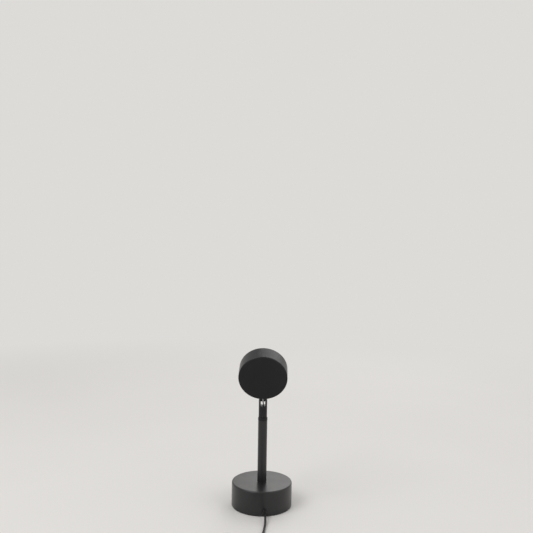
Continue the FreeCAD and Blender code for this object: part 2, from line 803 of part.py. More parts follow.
def make_optics():
    flange = cone_seat_radius - seat_gap
    mouth = throat_radius - seat_gap
    small = cone_small_dia / 2
    node(
        "light_cone",
        in_drum(
            lathe(
                [
                    (small, cone_low - cone_drop),
                    (small + cone_wall, cone_low - cone_drop),
                    (mouth, cone_low),
                    (flange, cone_low),
                    (flange, filter_back),
                    (mouth - cone_wall, filter_back),
                ]
            )
        ),
    )
    node("colour_filter", in_drum(rod(filter_dia / 2, filter_back, filter_back + filter_thick)))
    spacer_low = filter_back + filter_thick
    node("filter_spacer", in_drum(sleeve(filter_dia / 2, cone_seat_radius, spacer_low, lens_back)))

    foot = holder_foot_dia / 2
    foot_top = sink_top + holder_foot_thick
    holder = lathe(
        [
            (lens_seat_radius, bezel_back),
            (lens_seat_radius, lens_back),
            (filter_seat_radius, lens_back),
            (filter_seat_radius, filter_back),
            (cone_seat_radius, filter_back),
            (cone_seat_radius, cone_low),
            (throat_radius, cone_low),
            (throat_radius, cone_low - throat_depth),
            (barrel_radius, cone_low - 2 * throat_depth),
            (barrel_radius, sink_top),
            (foot, sink_top),
            (foot, foot_top),
            (barrel_radius + holder_wall, foot_top),
            (barrel_radius + holder_wall, cone_low - throat_depth + holder_wall / 2),
            (holder_radius, lens_back),
            (holder_radius, bezel_back),
        ]
    )
    for x, y in around(3, holder_screw_circle, holder_screw_turn):
        holder = holder.cut(rod(small_screw_dia / 2 + seat_gap, sink_top - 1, foot_top + 1, x, y))
    notch_top = led_top + core_dia + 1
    notch = block(wire_notch_width, foot, sink_top - 1, notch_top, 0, foot)
    node("optic_holder", in_drum(holder.cut(notch)))

    dome = lens_dome_radius
    sag = lens_radius - math.sqrt(lens_radius**2 - dome**2)
    tip = lens_land + sag
    mid = dome / 2
    mid_height = tip - (lens_radius - math.sqrt(lens_radius**2 - mid**2))
    edge = lens_dia / 2
    outline = [(0, tip), (0, lens_back), (edge, lens_back), (edge, lens_land), (dome, lens_land)]
    corners = [V(r, 0, z) for r, z in outline]
    sides = [Part.LineSegment(a, b).toShape() for a, b in zip(corners, corners[1:])]
    sides.append(Part.Arc(corners[-1], V(mid, 0, mid_height), corners[0]).toShape())
    node("lens", in_drum(Part.Face(Part.Wire(sides)).revolve(ORIGIN, Z, 360)))
    lip = dome + 2 * seat_gap
    node("lens_gasket", in_drum(sleeve(edge, lip, lens_land, bezel_back)))

    outer = inner_radius - 2 * seat_gap
    dish = outer - bezel_rim
    lip_front = bezel_back + bezel_thick
    slope = (bezel_front - lip_front) / (dish - lip)
    skirt = outer - bezel_skirt_wall
    land = holder_radius
    back_at_land = max(lip_front + slope * (land - lip) - bezel_thick, bezel_back)
    bezel = lathe(
        [
            (lip, bezel_back),
            (land, bezel_back),
            (land, back_at_land),
            (skirt, lip_front + slope * (skirt - lip) - bezel_thick),
            (skirt, bezel_front - bezel_skirt),
            (outer, bezel_front - bezel_skirt),
            (outer, bezel_front),
            (dish, bezel_front),
            (lip, lip_front),
        ]
    )
    notches = [
        block(notch_width, 2 * bezel_skirt_wall, bezel_front - notch_depth, bezel_front + 1, 0, side * outer)
        for side in (-1, 1)
    ]
    node("front_bezel", in_drum(bezel.cut(notches)))


# ---- Leads inside ---------------------------------------------------------------------
def make_inner_cord():
    """The supply lead from the base's wall to the driver."""
    inner = rod(cord_radius, 0, board_back_y + base_radius)
    node("inner_cord", turned(inner, Z, Y, V(0, -base_radius, cord_exit_height)))


def make_inner_leads():
    low = cord_exit_height
    bend = -0.65 * board_front_y
    turn = math.radians(base_turn)
    inward = V(-math.sin(turn), math.cos(turn), 0)
    enter, leave = V(0, 0, low) - inward * bend, V(0, 0, low + bend)
    riser = [
        Part.LineSegment(V(0, 0, low) + inward * board_front_y, enter).toShape(),
        arc_from(enter, inward, leave),
        Part.LineSegment(leave, V(0, 0, lead_joint_z)).toShape(),
    ]
    node("pole_lead", tube(riser, inner_lead_dia))

    turn = math.radians(head_tilt)
    rise = V(0, -math.sin(turn), math.cos(turn))
    pivot = V(0, 0, pivot_height)
    reach = knuckle_dia / 2 + 1
    enter, leave = pivot - Z * reach, pivot + rise * reach
    stem_in = head_clearance + head_wall
    neck = [
        Part.LineSegment(V(0, 0, lead_joint_z), enter).toShape(),
        arc_from(enter, Z, leave),
        Part.LineSegment(leave, pivot + rise * stem_in).toShape(),
    ]
    node("neck_lead", tube(neck, inner_lead_dia))

    cores = []
    front = led_top + core_dia / 2 + run_gap
    clear = stem_end + core_clear
    settled = axis_rise - holder_foot_dia / 2 + core_settle
    finish = axis_rise - led_board_dia / 2 + core_settle / 2
    for side in (-1, 1):
        x = side * core_spacing / 2
        path = [Part.LineSegment(V(x, 0, stem_in + run_gap), V(x, 0, clear)).toShape()]
        path += biarc(V(x, 0, clear), Z, V(x, front, settled), Z)
        path.append(Part.LineSegment(V(x, front, settled), V(x, front, finish)).toShape())
        cores.append(on_stem(tube(path, core_dia)))
    node("head_leads", *cores)


def make_exit():
    """Grommet with a short tapered sleeve where the lead leaves the base, and its stop."""
    bore = cord_radius + seat_gap
    neck = relief_neck_dia / 2
    root = relief_root_dia / 2
    inside = shell_bore - base_radius  # depth of the wall, outwards positive
    relief = lathe(
        [
            (bore, inside - relief_flange_thick - side_gap),
            (root, inside - relief_flange_thick - side_gap),
            (root, inside - side_gap),
            (neck, inside - side_gap),
            (neck, side_gap / 2),
            (root, side_gap / 2),
            (root, relief_collar),
            (relief_tip_dia / 2, relief_length),
            (bore, relief_length),
        ]
    )
    node("cord_relief", turned(relief, Z, -Y, V(0, -base_radius, cord_exit_height)))
    stop_at = inside - relief_flange_thick - 2 * side_gap
    stop = sleeve(cord_stop_dia / 2, bore, stop_at - cord_stop_length, stop_at)
    node("cord_stop", turned(stop, Z, -Y, V(0, -base_radius, cord_exit_height)))


# ---- Lead on the table ----------------------------------------------------------------
table_rise = cord_radius + 0.05
nozzle_in = switch_start_y + nozzle_length
switch_end_y = switch_start_y - switch_length
nozzle_out = switch_end_y - nozzle_length


def exit_point(out):
    """Point on the lead's axis, some way out from the base's wall."""
    turn = math.radians(base_turn)
    reach = base_radius + out
    return V(reach * math.sin(turn), -reach * math.cos(turn), cord_exit_height)


cord_route = [
    exit_point(0.0),
    exit_point(11.5),
    V(7.9, -70.0, 4.2),
    V(7.6, -81.0, table_rise),
    V(6.9, -92.0, table_rise),
    V(6.1, -102.5, table_rise),
    V(5.5, -110.5, 2.4),
    V(switch_x, nozzle_in + 5.0, switch_split),
    V(switch_x, switch_start_y - switch_wall + 0.5, switch_split),
]


def coil_point(turns):
    """A point of the coil after some turns.

    The radius falls and rises by one step a turn and reverses at each change of layer,
    and the height climbs a layer by half a cosine wave in the half turn round it.
    """
    leg = coil_turns / coil_layers
    layer = min(int(turns / leg), coil_layers - 1)
    inward = turns - layer * leg
    if layer % 2:
        inward = leg - inward
    radius = coil_outer_radius - coil_turn_step * inward
    height = table_rise
    for change in range(1, coil_layers):
        into = min(max((turns - change * leg + 0.25) / 0.5, 0.0), 1.0)
        height += coil_layer_step * (1 - math.cos(math.pi * into)) / 2
    angle = -2 * math.pi * turns
    return V(coil_x + radius * math.cos(angle), coil_y + radius * math.sin(angle), height)


def coil_heading(turns):
    step = 1e-4
    before, after = max(turns - step, 0.0), min(turns + step, coil_turns)
    return V(coil_point(after) - coil_point(before)).normalize()


coil_x = switch_x - coil_outer_radius
link_start_y = nozzle_out - cord_dia
coil_y = link_start_y - coil_link_run
plug_axis_z = plug_body_height / 2
plug_start_y = coil_y + coil_tail_flat + coil_tail_run + cord_dia
plug_x = coil_x - coil_outer_radius


def coil_edges():
    inside_switch = V(switch_x, switch_end_y + switch_wall - 0.5, switch_split)
    leave_switch = V(switch_x, link_start_y, switch_split)
    edges = [Part.LineSegment(inside_switch, leave_switch).toShape()]
    edges += biarc(leave_switch, -Y, coil_point(0.0), -Y)
    quarters = int(round(4 * coil_turns))
    marks = [coil_turns * k / quarters for k in range(quarters + 1)]
    points = [coil_point(t) for t in marks]
    ways = [coil_heading(t) for t in marks]
    ways[0], ways[-1] = -Y, Y
    for k in range(quarters):
        edges += biarc(points[k], ways[k], points[k + 1], ways[k + 1])
    flat = points[-1] + Y * coil_tail_flat
    low = V(plug_x, flat.y + coil_tail_run, plug_axis_z)
    edges.append(Part.LineSegment(points[-1], flat).toShape())
    edges += biarc(flat, Y, low, Y)
    edges.append(Part.LineSegment(low, V(plug_x, plug_start_y + plug_cord_depth, plug_axis_z)).toShape())
    return edges


def least_self_gap(edges, diameter):
    """Smallest distance between stretches that lie more than two diameters apart along it."""
    spacing = 1.2
    places, run = [], 0.0
    for edge in edges:
        count = max(int(edge.Length / spacing), 1)
        first, last = edge.FirstParameter, edge.LastParameter
        for k in range(count):
            at = edge.valueAt(first + (last - first) * k / count)
            places.append((run + edge.Length * k / count, at.x, at.y, at.z))
        run += edge.Length
    least = 1e9
    for i, (s, x, y, z) in enumerate(places):
        for t, u, v, w in places[i + 1 :]:
            if t - s > 3 * diameter and abs(x - u) < least and abs(y - v) < least:
                least = min(least, math.sqrt((x - u) ** 2 + (y - v) ** 2 + (z - w) ** 2))
    return least - diameter


def make_table_cord():
    node("cord_lead", tube(rounded_route(cord_route, "cord_lead"), cord_dia))
    edges = coil_edges()
    print("cord_coil least gap to itself %.2f mm" % least_self_gap(edges, cord_dia))
    node("cord_coil", tube(edges, cord_dia))


# ---- In-line switch -------------------------------------------------------------------
def rounded_pill(length, width, low, high, end_round, edge_round):
    """Box along Y with rounded upright corners and eased top and bottom edges."""
    body = block(width, length, low, high)
    corners = [e for e in body.Edges if abs(e.tangentAt(e.FirstParameter).z) > 0.9]
    body = body.makeFillet(min(end_round, width / 2 - 0.1), corners)
    if edge_round:
        flat = [e for e in body.Edges if e.BoundBox.ZLength < 1e-6]
        body = body.makeFillet(edge_round, flat)
    return body


def make_switch():
    outside = rounded_pill(switch_length, switch_width, 0, switch_height, switch_end_round, switch_edge_round)
    cavity = rounded_pill(
        switch_length - 2 * switch_wall,
        switch_width - 2 * switch_wall,
        switch_wall,
        switch_height - switch_wall,
        switch_end_round - switch_wall,
        0,
    )
    nozzle = lathe(
        [
            (0, switch_length / 2 - switch_wall),
            (nozzle_root_dia / 2, switch_length / 2 - switch_wall),
            (nozzle_root_dia / 2, switch_length / 2 + nozzle_collar),
            (nozzle_tip_dia / 2, switch_length / 2 + nozzle_length),
            (0, switch_length / 2 + nozzle_length),
        ]
    )
    axis = V(0, 0, switch_split)
    body = outside
    for way in (Y, -Y):
        body = body.fuse(turned(nozzle, Z, way, axis))
    body = body.cut(cavity)
    posts = [
        rod(case_post_dia / 2, switch_wall, switch_height - switch_wall, 0, side * case_post_spacing / 2)
        for side in (-1, 1)
    ]
    body = body.fuse(posts)
    inner_tunnel = switch_length / 2 - switch_wall
    for way in (Y, -Y):
        hole = rod(cord_radius + seat_gap, inner_tunnel, switch_length)
        body = body.cut(turned(hole, Z, way, axis))

    far = 2 * switch_length
    below = block(far, far, -1, switch_split)
    above = block(far, far, switch_split, switch_height + 1)
    lower, upper = body.common(below), body.common(above)
    button_radius = button_dia / 2
    upper = upper.cut(rod(button_radius + 2 * run_gap, switch_split, switch_height + 1))
    screws = []
    for side in (-1, 1):
        y = side * case_post_spacing / 2
        lower = lower.cut(rod(case_screw_head_dia / 2 + side_gap, -1, case_screw_depth, 0, y))
        lower = lower.cut(rod(case_screw_dia / 2 + 2 * seat_gap, 0, switch_split + 1, 0, y))
        pilot_top = case_screw_depth + case_screw_length + 1
        upper = upper.cut(rod(case_screw_dia / 2 + seat_gap, switch_split - 1, pilot_top, 0, y))
        screw = pan_screw(case_screw_dia, case_screw_length, case_screw_head_dia, case_screw_depth - side_gap)
        screws.append(turned(screw, Z, -Z, V(0, y, case_screw_depth)))

    board_top = switch_wall + switch_board_thick
    board = block(switch_board_width, switch_board_length, switch_wall, board_top)
    stem_radius = button_stem_dia / 2
    core_top = board_top + core_height
    core = block(core_box, core_box, board_top, core_top)
    flange_top = switch_height - switch_wall - side_gap
    flange_low = flange_top - button_flange_thick
    button_stem_low = core_top - button_stem_engage
    button_flange = button_radius + button_lip
    button_top = switch_height + button_proud
    well_floor = button_stem_low - button_travel - side_gap / 2
    well = rod(stem_radius + 2 * run_gap, well_floor, core_top + 1)
    button = lathe(
        [
            (0, button_stem_low),
            (stem_radius, button_stem_low),
            (stem_radius, flange_low),
            (button_flange, flange_low),
            (button_flange, flange_top),
            (button_radius, flange_top),
            (button_radius, button_top - button_chamfer),
            (button_radius - button_chamfer, button_top),
            (0, button_top),
        ]
    )

    def settle(shape):
        copy = shape.copy()
        copy.translate(V(switch_x, switch_start_y - switch_length / 2, 0))
        return copy

    node("switch_case_lower", settle(lower))
    node("switch_case_upper", settle(upper))
    node("switch_screws", *[settle(s) for s in screws])
    node("switch_board", settle(board))
    node("switch_core", settle(core.cut(well)))
    node("switch_button", settle(button))


# ---- Plug -----------------------------------------------------------------------------
def centred_bar(width, length, height, start):
    """Bar along Y from start, centred on the Y axis."""
    return Part.makeBox(width, length, height, V(-width / 2, start, -height / 2))


def make_plug():
    """Type A plug that points along +Y, with its lead's end at the origin."""
    body_end = plug_relief_length + plug_body_length
    body = centred_bar(plug_body_width, plug_body_length, plug_body_height, plug_relief_length)
    long_edges = [e for e in body.Edges if abs(e.tangentAt(e.FirstParameter).y) > 0.9]
    body = body.makeFillet(plug_edge_round, long_edges)
    back = [e for e in body.Edges if e.BoundBox.YLength < 1e-6 and e.BoundBox.YMin < plug_relief_length + 0.1]
    body = body.makeFillet(plug_edge_round * 0.7, back)
    sleeve_tip, sleeve_root = cord_radius + plug_relief_tip_wall, cord_radius + plug_relief_root_wall
    into = plug_relief_length + 1
    relief = lathe([(0, 0), (sleeve_tip, 0), (sleeve_root, into), (0, into)])
    body = body.fuse(turned(relief, Z, Y))
    body = body.cut(turned(rod(cord_radius + seat_gap, -1, plug_cord_depth), Z, Y))
    for k in range(plug_grips):
        start = plug_relief_length + plug_grip_start + k * plug_grip_pitch
        for side in (-1, 1):
            groove = centred_bar(2 * plug_grip_depth, plug_grip_width, plug_body_height + 1, start)
            groove.translate(V(side * plug_body_width / 2, 0, 0))
            body = body.cut(groove)
    shell_start = body_end - plug_shell_root
    pocket_w = plug_shell_width + 2 * seat_gap
    pocket_h = plug_shell_height + 2 * seat_gap
    body = body.cut(centred_bar(pocket_w, plug_shell_root + 1, pocket_h, shell_start))
    length = plug_shell_root + plug_shell_length
    inner_w = plug_shell_width - 2 * plug_shell_wall
    inner_h = plug_shell_height - 2 * plug_shell_wall
    shell = centred_bar(plug_shell_width, length, plug_shell_height, shell_start)
    shell = shell.cut(centred_bar(inner_w, length + 2, inner_h, shell_start - 1))
    for side in (-1, 1):
        for face in (-1, 1):
            start = body_end + plug_window_start
            window = centred_bar(plug_window_size, plug_window_size, 4 * plug_shell_wall, start)
            window.translate(V(side * plug_window_x, 0, face * plug_shell_height / 2))
            shell = shell.cut(window)
    insert_w = inner_w - 2 * seat_gap
    insert_low = -inner_h / 2 + seat_gap
    block_length = plug_shell_root - 1
    tongue = Part.makeBox(
        insert_w, length - plug_recess, plug_tongue_thick, V(-insert_w / 2, shell_start + 0.2, insert_low)
    )
    root = Part.makeBox(
        insert_w, block_length, inner_h - 2 * seat_gap, V(-insert_w / 2, shell_start + 0.2, insert_low)
    )
    insert = tongue.fuse(root).removeSplitter()
    contacts = []
    contact_start = shell_start + 0.2 + block_length
    for place in plug_contact_places:
        outermost = abs(place) == max(plug_contact_places)
        reach = plug_outer_contact if outermost else plug_inner_contact
        strip = Part.makeBox(plug_contact_width, reach, plug_contact_thick)
        strip.translate(V(place - plug_contact_width / 2, contact_start, insert_low + plug_tongue_thick))
        contacts.append(strip)

    def settle(shape):
        copy = shape.copy()
        copy.translate(V(plug_x, plug_start_y, plug_axis_z))
        return copy

    node("plug_body", settle(body))
    node("plug_shell", settle(shell))
    node("plug_insert", settle(insert))
    node("plug_contacts", *[settle(c) for c in contacts])


def main():
    make_base()
    make_driver()
    make_exit()
    make_inner_cord()
    for shape in made.values():
        shape.rotate(ORIGIN, Z, base_turn)
    make_pole()
    make_neck()
    make_stem()
    make_drum()
    make_light_engine()
    make_optics()
    make_inner_leads()
    make_table_cord()
    make_switch()
    make_plug()
    os.makedirs("parts", exist_ok=True)
    for name, shape in made.items():
        shape.exportStep(os.path.join("parts", name + ".step"))
    print(len(made), "nodes,", sum(len(s.Solids) for s in made.values()), "solids")


main()
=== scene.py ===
"""Looks of the sunset projection lamp: the finishes of every piece, the lens and its colour
filter, the leads at their real length, a pale floor, soft light and the camera. All lengths
are metres, +Z up, the beam along +Y and the origin under the middle of the base.
"""

import json
import math

import bpy
import numpy as np
from mathutils import Matrix, Vector


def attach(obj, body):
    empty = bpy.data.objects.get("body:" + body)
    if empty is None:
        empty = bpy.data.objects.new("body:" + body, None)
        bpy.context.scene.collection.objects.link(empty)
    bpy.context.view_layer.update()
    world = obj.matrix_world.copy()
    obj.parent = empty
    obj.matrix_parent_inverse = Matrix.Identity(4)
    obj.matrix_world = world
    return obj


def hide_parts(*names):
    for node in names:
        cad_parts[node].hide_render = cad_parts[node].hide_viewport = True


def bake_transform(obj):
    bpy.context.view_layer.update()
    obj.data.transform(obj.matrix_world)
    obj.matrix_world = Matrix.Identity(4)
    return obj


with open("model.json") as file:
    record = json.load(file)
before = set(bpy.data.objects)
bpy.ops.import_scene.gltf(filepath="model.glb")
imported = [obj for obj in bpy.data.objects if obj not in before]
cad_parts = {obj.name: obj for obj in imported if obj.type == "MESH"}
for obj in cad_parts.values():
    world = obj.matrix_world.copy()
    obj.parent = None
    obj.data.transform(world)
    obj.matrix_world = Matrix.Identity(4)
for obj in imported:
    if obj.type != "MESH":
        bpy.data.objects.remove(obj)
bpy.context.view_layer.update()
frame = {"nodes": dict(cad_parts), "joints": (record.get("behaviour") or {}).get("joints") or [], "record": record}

MM = 0.001

# ---- Places, from the frame and from the joints ------------------------------------------
nodes = frame["nodes"]
joints = {joint["name"]: joint for joint in frame["joints"]}
pivot = Vector(joints["head_tilt"]["pos_m"])
head_tilt = math.radians(22)  # the beam above the horizon at rest
stem = Vector((0, -math.sin(head_tilt), math.cos(head_tilt)))
drum_rise = 45.4 * MM  # from the pivot to the drum's axis
drum_middle = pivot + stem * drum_rise

# ---- Lens and colour filter, along the beam from the drum's middle ------------------------
lens_radius = 23 * MM
lens_dome_radius = 21 * MM
lens_curve = 40 * MM
lens_back = 3.6 * MM
lens_land = 5.4 * MM  # the flat ring under the gasket
lens_corner = 0.35 * MM  # rounded by the flame
filter_radius = 19.1 * MM
filter_back, filter_front = 2 * MM, 3.1 * MM
filter_corner = 0.15 * MM  # ground
glass_clear = 0.03 * MM  # off what holds it, so that no two faces share a place
hub = 0.02  # of the radius: the small face that closes the middle of each side

# ---- The leads ---------------------------------------------------------------------------
base_radius = 47.5 * MM
base_turn = math.radians(7)  # the base, with the lead's exit, is turned under the head
exit_height = 8 * MM
cord_dia = 3.4 * MM
cord_radius = cord_dia / 2
table_rise = cord_radius + 0.05 * MM
lead_dia = 1.7 * MM
lead_foot = 118 * MM  # height at which the neck's lead takes over from the pole's
lead_bend = 6 * MM  # half of the stretch that bends, each side of the pivot
lead_tip = 9.4 * MM  # where it enters the drum, from the pivot
lead_sway = 1.3 * MM  # to the right, most of all just under the floor of the fork's slot
lead_sway_top = -3.5 * MM  # from the pivot
lead_sway_length = 20.5 * MM

switch_x = 5.2 * MM
switch_axis = 5 * MM
coil_outer = 24.9 * MM
coil_turns = 9.5
coil_layers = 4
coil_turn_step = 3.95 * MM
coil_layer_step = 4 * MM
coil_change = 0.5  # of a turn, in which the lead climbs from one layer to the next
coil_x = switch_x - coil_outer
coil_y = -202.4 * MM
plug_x = coil_x - coil_outer
plug_axis = 3.8 * MM

# ---- Camera, fitted to the lamp's outline ------------------------------------------------
image_width = 533  # pixels
focal_pixels = 580.6
camera_distance = 0.9225
camera_height = 0.3773
camera_azimuth = math.radians(1.5)
camera_yaw = math.radians(-0.14)
camera_roll = math.radians(0.865)


def make_camera():
    """Level camera behind the lamp, rolled by under a degree as the outline shows."""
    data = bpy.data.cameras.new("camera")
    data.sensor_width = 36  # millimetres, as the focal length is
    data.lens = data.sensor_width * focal_pixels / image_width
    data.clip_start, data.clip_end = 0.01, 60
    camera = bpy.data.objects.new("camera", data)
    bpy.context.scene.collection.objects.link(camera)
    bpy.context.scene.camera = camera
    heading = camera_azimuth + camera_yaw
    forward = Vector((-math.sin(heading), math.cos(heading), 0))
    level = Vector((forward.y, -forward.x, 0))
    up = Vector((0, 0, 1))
    side = level * math.cos(camera_roll) + up * math.sin(camera_roll)
    top = up * math.cos(camera_roll) - level * math.sin(camera_roll)
    place = Matrix((side, top, -forward)).transposed().to_4x4()
    place.translation = (
        camera_distance * math.sin(camera_azimuth),
        -camera_distance * math.cos(camera_azimuth),
        camera_height,
    )
    camera.matrix_world = place


make_camera()


# ---- Node trees --------------------------------------------------------------------------
def linear(code):
    """Linear colour, with alpha, of an sRGB hex value such as 1A1A1B."""
    parts = [int(code[k : k + 2], 16) / 255 for k in (0, 2, 4)]
    return [c / 12.92 if c <= 0.04045 else ((c + 0.055) / 1.055) ** 2.4 for c in parts] + [1.0]


def add(tree, kind, inputs=None, **settings):
    """Adds a node with its own settings. Each input takes a value or the socket that feeds it."""
    node = tree.nodes.new("ShaderNode" + kind)
    for name, value in settings.items():
        setattr(node, name, value)
    for key, value in (inputs or {}).items():
        if isinstance(value, bpy.types.NodeSocket):
            tree.links.new(value, node.inputs[key])
        else:
            node.inputs[key].default_value = value
    return node


def begin(name, **constants):
    """Starts a finish: its tree, its shader with the constants set, and Object coordinates."""
    finish = bpy.data.materials.new(name)
    finish.use_nodes = True
    tree = finish.node_tree
    tree.nodes.clear()
    inputs = {key.replace("_", " "): value for key, value in constants.items()}
    shader = add(tree, "BsdfPrincipled", inputs)
    add(tree, "OutputMaterial", {"Surface": shader.outputs[0]})
    return finish, tree, shader, add(tree, "TexCoord").outputs["Object"]


def feed(tree, shader, **sockets):
    """Feeds the shader's inputs, such as Base_Color, from the sockets of other nodes."""
    for name, socket in sockets.items():
        tree.links.new(socket, shader.inputs[name.replace("_", " ")])


def per_metre(size):
    """Texture scale for features of a size in millimetres."""
    return 1000 / size


def drum_place(tree, place):
    """Coordinates centred in the drum, with Z along the beam."""
    inputs = {"Vector": place, "Location": drum_middle, "Rotation": (head_tilt - math.pi / 2, 0, 0)}
    return add(tree, "Mapping", inputs, vector_type="TEXTURE").outputs[0]


# ---- Finishes of metal -------------------------------------------------------------------
def powder_coat():
    """Polyester powder coat, sprayed on steel and baked.

    A satin black whose orange peel, about 1.5 mm from crest to crest, breaks up what it
    mirrors, with faint cloudy patches where the coat is a little duller.
    """
    finish, tree, shader, place = begin("black_powder_coat", IOR=1.52)
    ripples = {"Vector": place, "Scale": per_metre(1.5), "Detail": 2.0, "Roughness": 0.5}
    peel = add(tree, "TexNoise", ripples)
    patches = add(tree, "TexNoise", {"Vector": place, "Scale": per_metre(14), "Detail": 4.0})
    colours = {"Factor": patches.outputs[0], "A": linear("121213"), "B": linear("19191B")}
    tint = add(tree, "Mix", colours, data_type="RGBA").outputs["Result"]
    dull = add(tree, "MapRange", {"Value": patches.outputs[0], "To Min": 0.27, "To Max": 0.39}).outputs[0]
    relief = add(tree, "Bump", {"Height": peel.outputs[0], "Distance": 0.045 * MM}).outputs[0]
    feed(tree, shader, Base_Color=tint, Roughness=dull, Normal=relief)
    return finish


def anodised_aluminium():
    """Aluminium, turned, bead blasted and dyed black in the anodising bath.

    A soft metallic black, speckled by the pits of the blast. The pits are drawn 0.55 mm
    wide, about twice their real size, so that they show.
    """
    finish, tree, shader, place = begin("black_anodised_aluminium", Metallic=0.45)
    pits = {"Vector": place, "Scale": per_metre(0.55), "Detail": 2.0, "Roughness": 0.7}
    grain = add(tree, "TexNoise", pits)
    patches = add(tree, "TexNoise", {"Vector": place, "Scale": per_metre(11), "Detail": 3.0})
    speckle = add(tree, "MapRange", {"Value": grain.outputs[0], "From Min": 0.3, "From Max": 0.7})
    colours = {"Factor": speckle.outputs[0], "A": linear("111113"), "B": linear("222225")}
    tint = add(tree, "Mix", colours, data_type="RGBA").outputs["Result"]
    dull = add(tree, "MapRange", {"Value": patches.outputs[0], "To Min": 0.33, "To Max": 0.43}).outputs[0]
    relief = add(tree, "Bump", {"Height": grain.outputs[0], "Distance": 0.04 * MM}).outputs[0]
    feed(tree, shader, Base_Color=tint, Roughness=dull, Normal=relief)
    return finish


def cast_iron():
    """Grey iron, cast in sand and left raw: dark, dull and pitted at about 1.2 mm."""
    finish, tree, shader, place = begin("sand_cast_iron", Metallic=0.8)
    pits = add(tree, "TexNoise", {"Vector": place, "Scale": per_metre(1.2), "Detail": 6.0})
    colours = {"Factor": pits.outputs[0], "A": linear("3C3B3A"), "B": linear("67645F")}
    tint = add(tree, "Mix", colours, data_type="RGBA").outputs["Result"]
    dull = add(tree, "MapRange", {"Value": pits.outputs[0], "To Min": 0.55, "To Max": 0.8}).outputs[0]
    relief = add(tree, "Bump", {"Height": pits.outputs[0], "Distance": 0.12 * MM}).outputs[0]
    feed(tree, shader, Base_Color=tint, Roughness=dull, Normal=relief)
    return finish


def zinc_plate():
    """Steel with clear passivated zinc: a bluish silver with spangles about 1.5 mm across."""
    finish, tree, shader, place = begin("zinc_plated_steel", Metallic=1.0)
    spangles = add(tree, "TexVoronoi", {"Vector": place, "Scale": per_metre(1.5)})
    colours = {"Factor": spangles.outputs["Color"], "A": linear("B4B8BC"), "B": linear("C9CCCB")}
    tint = add(tree, "Mix", colours, data_type="RGBA").outputs["Result"]
    sheen = {"Value": spangles.outputs["Distance"], "To Min": 0.26, "To Max": 0.38}
    dull = add(tree, "MapRange", sheen).outputs[0]
    feed(tree, shader, Base_Color=tint, Roughness=dull)
    return finish


def black_oxide():
    """Steel screws, blacked in hot oxide and oiled: near black with a warm low sheen."""
    finish, tree, shader, place = begin("black_oxide_steel", Metallic=0.7)
    mottle = add(tree, "TexNoise", {"Vector": place, "Scale": per_metre(0.8), "Detail": 3.0})
    colours = {"Factor": mottle.outputs[0], "A": linear("1C1A19"), "B": linear("2C2A29")}
    tint = add(tree, "Mix", colours, data_type="RGBA").outputs["Result"]
    dull = add(tree, "MapRange", {"Value": mottle.outputs[0], "To Min": 0.3, "To Max": 0.45}).outputs[0]
    feed(tree, shader, Base_Color=tint, Roughness=dull)
    return finish


def turned_metal(name, dark, light, spacing, round_beam=False):
    """Bare metal off the lathe: fine rings round the pole's axis, or round the beam.

    Their spacing is in millimetres. The wave texture has a crest every pi / 10 of its units.
    """
    finish, tree, shader, place = begin(name, Metallic=1.0)
    wave = {
        "Vector": drum_place(tree, place) if round_beam else place,
        "Scale": per_metre(spacing) * math.pi / 10,
        "Distortion": 0.6,
        "Detail": 2.0,
    }
    rings = add(tree, "TexWave", wave, wave_type="RINGS", rings_direction="Z")
    colours = {"Factor": rings.outputs["Fac"], "A": linear(dark), "B": linear(light)}
    tint = add(tree, "Mix", colours, data_type="RGBA").outputs["Result"]
    dull = add(tree, "MapRange", {"Value": rings.outputs["Fac"], "To Min": 0.2, "To Max": 0.34}).outputs[0]
    grooves = {"Height": rings.outputs["Fac"], "Strength": 0.3, "Distance": 0.01 * MM}
    relief = add(tree, "Bump", grooves).outputs[0]
    feed(tree, shader, Base_Color=tint, Roughness=dull, Normal=relief)
    return finish


def turned_brass():
    """Brass bush, turned: warm yellow with rings 0.3 mm apart about the pole's axis."""
    return turned_metal("turned_brass", "A98443", "CFAE6A", 0.3)


def turned_aluminium():
    """Bare aluminium heat sink, turned: pale silver with rings 0.4 mm apart about the beam."""
    return turned_metal("turned_aluminium", "BFC1C2", "D8D9D9", 0.4, round_beam=True)


def nickel_plate():
    """Stamped steel shell, nickel plated: bright, faintly warm, with fine rolling streaks."""
    finish, tree, shader, place = begin("nickel_plated_steel", Metallic=1.0)
    stretched = add(tree, "Mapping", {"Vector": place, "Scale": (1.0, 0.08, 1.0)})
    fine = {"Vector": stretched.outputs[0], "Scale": per_metre(0.3), "Detail": 3.0}
    streaks = add(tree, "TexNoise", fine)
    colours = {"Factor": streaks.outputs[0], "A": linear("BDBAB4"), "B": linear("D6D3CD")}
    tint = add(tree, "Mix", colours, data_type="RGBA").outputs["Result"]
    dull = add(tree, "MapRange", {"Value": streaks.outputs[0], "To Min": 0.12, "To Max": 0.24}).outputs[0]
    feed(tree, shader, Base_Color=tint, Roughness=dull)
    return finish


def gold_flash():
    """Contacts of stamped bronze with a gold flash: deep yellow, worn pale in small patches."""
    finish, tree, shader, place = begin("gold_flashed_bronze", Metallic=1.0, Roughness=0.22)
    worn = add(tree, "TexNoise", {"Vector": place, "Scale": per_metre(1.1), "Detail": 3.0})
    colours = {"Factor": worn.outputs[0], "A": linear("D9AA4A"), "B": linear("E6C988")}
    tint = add(tree, "Mix", colours, data_type="RGBA").outputs["Result"]
    feed(tree, shader, Base_Color=tint)
    return finish


